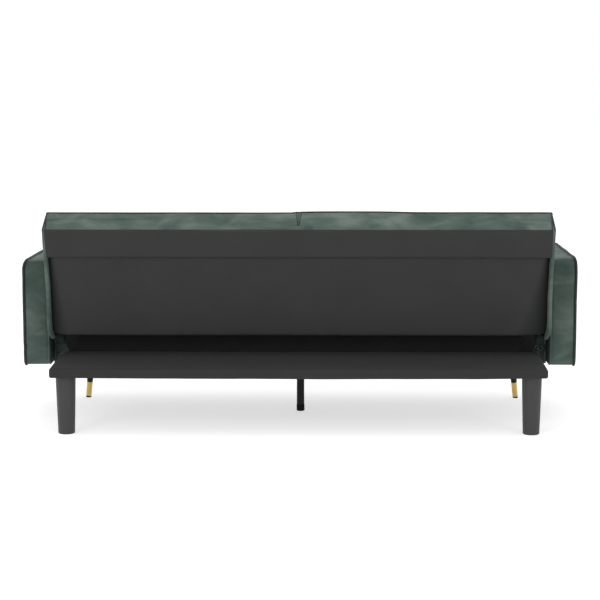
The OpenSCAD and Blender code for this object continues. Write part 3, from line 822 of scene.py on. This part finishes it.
def gather(x, share):
    # three creases that meet in a point; share runs from 0 at the front edge to 1 at the rear
    reach = topSet["gatherReach"]
    if share > reach:
        return 0.0
    fade = 1 - share / reach
    start = min(1.0, share / 0.10)              # the front edge stays nearly whole
    depth = 0.0
    for spread, weight in ((-1.0, 0.9), (0.05, 0.7), (1.05, 1.0)):
        centre = spread * topSet["gatherWidth"] * (0.15 + 0.85 * fade)
        depth += weight * math.exp(-((x - centre) / topSet["gatherFine"]) ** 2)
    point = math.exp(-(x / 0.006) ** 2 - ((share - reach + 0.10) / 0.10) ** 2)
    return topSet["gatherDepth"] * (0.04 + 0.96 * start) * (depth * 0.75 + point * 0.6)


def makeBackTop():
    x1, thick = back["halfWidth"], back["thickness"]
    bm = bmesh.new()
    bmesh.ops.create_grid(bm, x_segments=420, y_segments=22, size=0.5)
    for v in bm.verts:
        u, w = v.co.x * 2, v.co.y + 0.5            # w runs from the front edge to the rear one
        x = math.copysign(abs(u) ** 2.2, u) * (x1 - 0.003)
        y = -thick + 0.004 + (thick - 0.004) * w
        crown = topSet["crown"] * (1 - (2 * w - 1) ** 4) * (1 - abs(u) ** 30)
        z = backTop(y) - 0.003 + crown + puff(x) * (1 - w)
        z += wobble((x, y, 0), 5, 0.0022, 61) + wobble((x, y, 0), 17, 0.0009, 62)
        z -= gather(x, w)
        turn = max(0.0, w - 0.93) / 0.07           # the rear edge rolls over
        z -= topSet["rearRound"] * turn ** 2
        v.co = Vector((x, y, z))
    faceOut(bm, Vector((0, 0, 1)))
    piece = walled(newPiece("backTop", bm), topSet["thickness"])
    piece.data.transform(backFrame)
    # the top wears the lighter velvet as painted light
    dress(piece, brushedVelvet, "back", ())


makeBackTop()


endSet = {"thickness": 0.004, "round": 0.006, "rows": 84, "gatherHeight": 0.045, "gatherPitch": 210,
          "gatherDepth": 0.0016, "belly": 0.0046, "bellyHeight": 0.085, "bellyFrom": 0.03, "hang": 0.06,
          "tail": 0.011, "tailTurn": 0.012, "tailShare": 0.028, "piping": 0.0022}


def endOutline():
    # the strip's section, from inside the recess round to the front, in the back's own frame
    x1, strip, r = back["halfWidth"], back["strip"], endSet["round"]
    bends = [(x1 - strip + 0.001, y) for y in np.linspace(-back["deep"], -0.004, 6)]
    bends += [(x1 - strip + 0.0025, -0.0012), (x1 - strip + 0.0045, 0.0)]
    bends += [(x1 - r + r * math.sin(a), -r + r * math.cos(a)) for a in
              (math.radians(15 * i) for i in range(7))]
    return bends + [(x1, y) for y in np.linspace(-0.02, -back["thickness"] + 0.002, 8)]


def makeBackEnd(side, name):
    outline = endOutline()
    bm = bmesh.new()
    first = [bm.verts.new((side * x, y, 0.0)) for x, y in outline]
    edges = [bm.edges.new(pair) for pair in zip(first, first[1:])]
    rise = backTop(-back["thickness"]) - 0.004
    for _ in range(endSet["rows"]):
        made = bmesh.ops.extrude_edge_only(bm, edges=edges)["geom"]
        fresh = [v for v in made if isinstance(v, bmesh.types.BMVert)]
        bmesh.ops.translate(bm, vec=(0, 0, rise / endSet["rows"]), verts=fresh)
        edges = [e for e in made if isinstance(e, bmesh.types.BMEdge)
                 and all(v in fresh for v in e.verts)]
    for v in bm.verts:
        share = v.co.z / rise
        v.co.z = share * (backTop(v.co.y) - 0.005)
        low = max(0.0, 1 - v.co.z / endSet["gatherHeight"])
        tuck = math.sin(v.co.z * endSet["gatherPitch"]) * low * endSet["gatherDepth"]
        above = max(0.0, v.co.z - endSet["bellyFrom"])
        belly = endSet["belly"] * math.exp(-(above / endSet["bellyHeight"]) ** 2)
        rear = min(1.0, max(0.0, 1 + v.co.y / endSet["hang"]))  # only the rear edge hangs and bellies
        tail = max(0.0, 1 - share / endSet["tailShare"]) * rear
        v.co.z -= endSet["tail"] * tail
        v.co.x += side * (belly * rear - endSet["tailTurn"] * tail ** 1.5)
        v.co.x -= side * (wobble(v.co, 24, 0.0010, 71 + side) + tuck)
        v.co.y -= wobble(v.co, 18, 0.0010, 73 + side) + tuck * 0.8
    bmesh.ops.recalc_face_normals(bm, faces=bm.faces)
    bm.normal_update()
    outer = max(bm.faces, key=lambda f: side * f.calc_center_median().x)
    if outer.normal.x * side < 0:
        bmesh.ops.reverse_faces(bm, faces=bm.faces)
    piece = walled(newPiece("backEnd" + name, bm), endSet["thickness"])
    piece.data.transform(backFrame)
    return piece


def makeBackEnds():
    x1, front = back["halfWidth"], -back["thickness"]
    for side, name in ((1, "Left"), (-1, "Right")):
        end = makeBackEnd(side, name)
        dress(end, finishes["velvet"], "back", ["back_side_covers"] if side > 0 else ())
        for word, inward in (("Outer", 0.001), ("Inner", back["strip"] - 0.003)):
            path = []
            for i in range(13):
                share = i / 12
                y = front * (1 - share) + 0.004 * (1 - 2 * share)
                x = x1 - 0.003 - (inward - 0.001) * share
                path.append(backFrame @ Vector((side * x, y, backTop(y) - 0.004
                                                + 0.002 * math.sin(math.pi * share))))
            dress(tube("backEnd" + name + word + "Piping", path, endSet["piping"]), pipingCloth,
                  "back")


makeBackEnds()
print("back covers made")


bandSet = {"thickness": 0.0016, "columns": 150, "rows": 36, "hem": 0.010}
# fade shapes how the painted shade on the dust cover dies away from the turned-in velvet
dustSet = {"dip": 0.015, "narrow": 0.020, "wide": {1: 0.058, -1: 0.105}, "sag": 0.0035,
           "thickness": 0.0012, "columns": 260, "rows": 44, "upright": 0.290, "uprightHalf": 0.011,
           "fade": 0.9, "under": 0.0065}         # the cover runs on under the turned-in velvet


def makeBand():
    half = back["halfWidth"] - back["strip"] + 0.0035
    low, high = back["height"] - back["band"], back["height"] - 0.0015

    def shape(x, y, z):
        rise = (z - low) / (high - low)
        under = max(0.0, 0.07 - rise) / 0.07               # the hem turns in under the band
        top = max(0.0, rise - 0.94) / 0.06
        ease = wobble((x, 0, z), 4, 0.0012, 81) + wobble((x, 0, z), 15, 0.0004, 82)
        pucker = 0.0004 * math.sin(x * 520) * max(0.0, 1 - abs(rise - 0.12) / 0.10)
        y = 0.0006 + ease * (1 - under) + pucker - 0.0105 * under ** 2 - 0.0015 * top ** 2
        return (x, y, max(z, low + 0.0012) if under < 0.6 else low + 0.0004)
    band = clothPanel("backTopBand", (-half, 0, low), (half, 0, high), bandSet["columns"],
                      bandSet["rows"], shape, bandSet["thickness"])
    band.data.transform(backFrame)
    dress(band, finishes["black_cloth"], "back", ["back_top_band"])


def dustDip(x, z):
    # how far the lower cover falls away towards the turned-in velvet
    half = back["halfWidth"] - back["strip"]
    share = max(0.0, 1 - z / (back["height"] - back["band"]))
    wide = dustSet["wide"][1 if x > 0 else -1]
    reach = dustSet["narrow"] + (wide - dustSet["narrow"]) * share ** 1.2
    near = min(1.0, max(0.0, 1 - (half - abs(x)) / reach))
    return dustSet["dip"] * near ** 1.6, near


def dustShape(x, y, z):
    half, high = back["halfWidth"] - back["strip"], back["height"] - back["band"]
    dip, near = dustDip(x, z)
    timber = max(0.0, abs(abs(x) - dustSet["upright"]) - dustSet["uprightHalf"])
    loose = min(1.0, timber / 0.09) * (1 - near)
    sag = dustSet["sag"] * math.sin(math.pi * min(1, max(0, z / high)))
    ripple = wobble((x * 0.5, 0, z), 6, 0.0030, 91) + wobble((x, 0, z), 17, 0.0009, 92)
    return (x, -back["recess"] - dip + (ripple - sag) * loose, z)


def makeDustCover():
    half = back["halfWidth"] - back["strip"] + dustSet["under"]
    high = back["height"] - back["band"] + 0.0006
    cover = clothPanel("backDustCover", (-half, 0, 0.0005), (half, 0, high), dustSet["columns"],
                       dustSet["rows"], dustShape, dustSet["thickness"])
    # painted shade: each point's share of the dark green grows as it nears the turned-in velvet
    drawn = cover.data.attributes.new("drawn", "FLOAT", "POINT")
    drawn.data.foreach_set("value", [dustDip(v.co.x, v.co.z)[1] ** dustSet["fade"]
                                     for v in cover.data.vertices])
    cover.data.transform(backFrame)
    dress(cover, dustCloth, "back", ["back_dust_cover"])


makeBand()
makeDustCover()


seatCoverSet = {"ripple": 0.0008, "sag": 0.004, "tuck": 0.006, "frontLeg": (0.803, 0.05),
                "middleLeg": (-0.058, 0.062), "clear": 0.1, "rear": 0.0015, "under": 0.0010,
                "felt": 0.0022}


def makeSeatCovers():
    low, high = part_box("seat_rear_cover")

    def rearShape(x, y, z):
        return (x, high.y + 0.0015 + wobble((x, 0, z), 7, seatCoverSet["ripple"], 111), z)
    foot = low.z - seatCoverSet["tuck"]
    rear = clothPanel("seatRearCover", (low.x, high.y, foot), (high.x, high.y, high.z), 120, 8,
                      rearShape, seatCoverSet["rear"])
    # the seat's rear cover wears the near-black cloth as painted shade in the gap under the back
    dress(rear, liningCloth, "base", ["seat_rear_cover"])
    low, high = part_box("seat_dust_cover")
    (frontX, frontHalf), (middleY, middleHalf) = seatCoverSet["frontLeg"], seatCoverSet["middleLeg"]
    clear = seatCoverSet["clear"]

    def underShape(x, y, z):
        inner = (y - low.y) / (high.y - low.y)
        slack = seatCoverSet["sag"] * math.sin(math.pi * inner) * abs(math.sin(x * 5.2))
        legs = min(1.0, max(0.0, abs(abs(x) - frontX) - frontHalf) / clear)
        middle = min(1.0, max(0.0, math.hypot(x, y - middleY) - middleHalf) / clear)
        return (x, y, low.z + 0.0005 - slack * legs * middle - abs(wobble((x, y, 0), 6, 0.0010, 112)))
    under = clothPanel("seatDustCover", (low.x, low.y, low.z), (high.x, high.y, low.z), 140, 50,
                       underShape, seatCoverSet["under"], across=(0, 1), facing=(0, 0, -1))
    dress(under, finishes["black_cloth"], "base", ["seat_dust_cover"])
    low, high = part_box("seat_pad")
    felt = clothPanel("seatFelt", (low.x, low.y, high.z), (high.x, high.y, high.z), 90, 30,
                      lambda x, y, z: (x, y, high.z - 0.0002 + wobble((x, y, 0), 20, 0.0002, 113)),
                      seatCoverSet["felt"], across=(0, 1), facing=(0, 0, 1))
    dress(felt, finishes["felt"], "base", ["seat_pad"])


makeSeatCovers()


cornerSet = {
    "Left": {"side": 1, "inner": 0.834, "top": 0.026, "reach": 0.114, "crumple": 0.0022},
    "Right": {"side": -1, "inner": 0.838, "top": 0.025, "reach": 0.070, "crumple": 0.0046},
    "thickness": 0.0018, "ledgeRear": 0.235, "lean": 0.010, "stand": 0.0065, "tuck": 0.0035, "lift": 0.0025,
}


def makeSeatCorner(name, cloth):
    # velvet from the seat's rear corner, turned down over the hinge and out on to the ledge
    facts, lean, lift = cornerSet[name], cornerSet["lean"], cornerSet["lift"]
    rear, foot = seatBox[1].y, ledgeBox[1].z
    slope = (foot - cornerSet["ledgeRear"]) / (ledgeBox[1].y - ledgeBox[0].y)
    inner, ledgeEnd, seatEnd = facts["inner"], ledgeBox[1].x - 0.003, borderBox[1].x - 0.003

    def shape(u, y, w):
        near = rear + cornerSet["stand"] - cornerSet["tuck"] * u
        if w > 0.5:
            rise = (w - 0.5) * 2
            x = inner + lean * rise + (seatEnd - inner - lean * rise) * u
            y, z = near, foot + lift + facts["top"] * rise
        else:
            out = 1 - 2 * w
            x = inner + (seatEnd + (ledgeEnd - seatEnd) * min(1.0, out * 6) - inner) * u
            y = near + facts["reach"] * out * u
            z = foot + lift - slope * (y - rear)
        fold = facts["crumple"] * (1 - abs(2 * w - 1) ** 6)
        y += noise.noise(Vector((x, w * 0.08, 0)) * 75 + Vector((name == "Left", 4, 0))) * fold
        z += abs(noise.noise(Vector((x, w * 0.11, 7)) * 60)) * fold
        return (facts["side"] * x, y, z)
    corner = clothPanel("seatCorner" + name, (0, 0, 0), (1, 0, 1), 26, 48, shape,
                        cornerSet["thickness"])
    dress(corner, cloth, "base")


# the left corner wears the darker velvet as painted shade
makeSeatCorner("Left", tuckedVelvet)
# the right corner wears the near-black piping cloth as painted shade
makeSeatCorner("Right", pipingCloth)


looseSet = {"y": 0.0112, "cord": 0.0016,
            "curls": [{"at": (0.868, 0.016), "radius": 0.0085, "from": -100, "to": 110},
                      {"at": (0.853, 0.019), "radius": 0.0060, "from": 20, "to": 230},
                      {"at": (0.857, 0.009), "radius": 0.0050, "from": -60, "to": 130}]}


def makeLooseEnds():
    # ends of piping that curl out beside the right hinge
    foot, made = ledgeBox[1].z, []
    for i, curl in enumerate(looseSet["curls"]):
        (x, z), path = curl["at"], []
        for step in range(19):
            angle = math.radians(curl["from"] + (curl["to"] - curl["from"]) * step / 18)
            path.append((-x - curl["radius"] * math.cos(angle), seatBox[1].y + looseSet["y"] + 0.0012 * i,
                         foot + z + curl["radius"] * math.sin(angle)))
        made.append(tube("curl", path, looseSet["cord"]))
    dress(joined("seatPipingEnds", made), finishes["velvet"], "base")


makeLooseEnds()


ledgeSet = {"round": 0.007, "segments": 4, "under": 0.0015, "sag": 0.0035, "rearHeight": 0.030,
            "cutsAlong": 110, "cutsAcross": 16}


def makeLedge():
    low, high = ledgeBox
    rearTop = low.z + ledgeSet["rearHeight"]
    bm = block(low + Vector((0.001, 0.0005, 0.0003)), (high.x - 0.001, high.y - 0.0005, rearTop))
    lengthways = [e for e in bm.edges if abs(e.verts[0].co.x - e.verts[1].co.x) > 0.5]
    bmesh.ops.subdivide_edges(bm, edges=lengthways, cuts=ledgeSet["cutsAlong"], use_grid_fill=True)
    across = [e for e in bm.edges if abs(e.verts[0].co.y - e.verts[1].co.y) > 0.2]
    bmesh.ops.subdivide_edges(bm, edges=across, cuts=ledgeSet["cutsAcross"], use_grid_fill=True)
    sharp = [e for e in bm.edges if len(e.link_faces) == 2 and e.calc_face_angle() > 0.8
             and max(v.co.y for v in e.verts) > low.y + 0.01]          # the front edge stays square
    bmesh.ops.bevel(bm, geom=sharp, offset=ledgeSet["round"], affect="EDGES",
                    segments=ledgeSet["segments"], profile=0.5, material=-1)
    for v in bm.verts:
        forward = (high.y - v.co.y) / (high.y - low.y)
        up = (v.co.z - low.z) / (rearTop - low.z)
        v.co.z += (high.z - rearTop - 0.0006) * forward * max(0.0, up)
        waves = wobble(v.co, 4.5, 0.0022, 101) + wobble(v.co, 13, 0.0008, 102)
        sag = ledgeSet["sag"] * (1 - (v.co.x / high.x) ** 2)
        v.co.z += (waves * 0.6 + 0.0010) * up - (ledgeSet["under"] * (1 + waves * 300) + sag) * (1 - up)
        v.co.y += (wobble((v.co.x, 0, v.co.z), 6, 0.0016, 103) + 0.0006) * (1 - forward)
    cover = newPiece("ledgeCover", bm)
    # the ledge wears the darker black cloth as painted shade
    dress(cover, ledgeCloth, "base", ["ledge_cover"])


makeLedge()
print("backing cloth made")


floorSet = {"size": 60.0, "albedo": 0.57, "glow": 0.605}


def makeFloor():
    bm = bmesh.new()
    bmesh.ops.create_grid(bm, x_segments=1, y_segments=1, size=floorSet["size"] / 2)
    floor = newPiece("floor", bm)
    paper = {"Base Color": (*(floorSet["albedo"],) * 3, 1), "Roughness": 1.0, "Specular IOR Level": 0.0,
             "Emission Color": (1, 1, 1, 1), "Emission Strength": floorSet["glow"]}
    floor.data.materials.append(finish("floorPaper", paper, lambda wire: {}))


lightSet = [
    {"name": "overhead", "at": (0.0, 0.6, 3.4), "to": (0, 0, 0.3), "size": (4.5, 3.0), "power": 14},
    {"name": "rearLeft", "at": (2.6, 4.2, 2.4), "to": (0.2, 0.2, 0.4), "size": (1.8, 1.8), "power": 40},
    {"name": "rearRight", "at": (-3.2, 3.6, 2.0), "to": (-0.2, 0.2, 0.4), "size": (1.6, 1.6), "power": 20},
]


def makeLights():
    sky = bpy.data.worlds.new("sky")
    sky.use_nodes = True
    background = sky.node_tree.nodes["Background"]
    background.inputs["Color"].default_value = (1, 1, 1, 1)
    background.inputs["Strength"].default_value = 1.0
    scene.world = sky
    for lamp in lightSet:
        light = bpy.data.lights.new(lamp["name"], "AREA")
        light.shape = "RECTANGLE"
        light.size, light.size_y = lamp["size"]
        light.energy = lamp["power"]
        thing = bpy.data.objects.new(lamp["name"], light)
        thing.location = lamp["at"]
        aim = Vector(lamp["to"]) - Vector(lamp["at"])
        thing.rotation_euler = aim.to_track_quat("-Z", "Y").to_euler()
        scene.collection.objects.link(thing)


makeFloor()
makeLights()
print("floor and lights made")
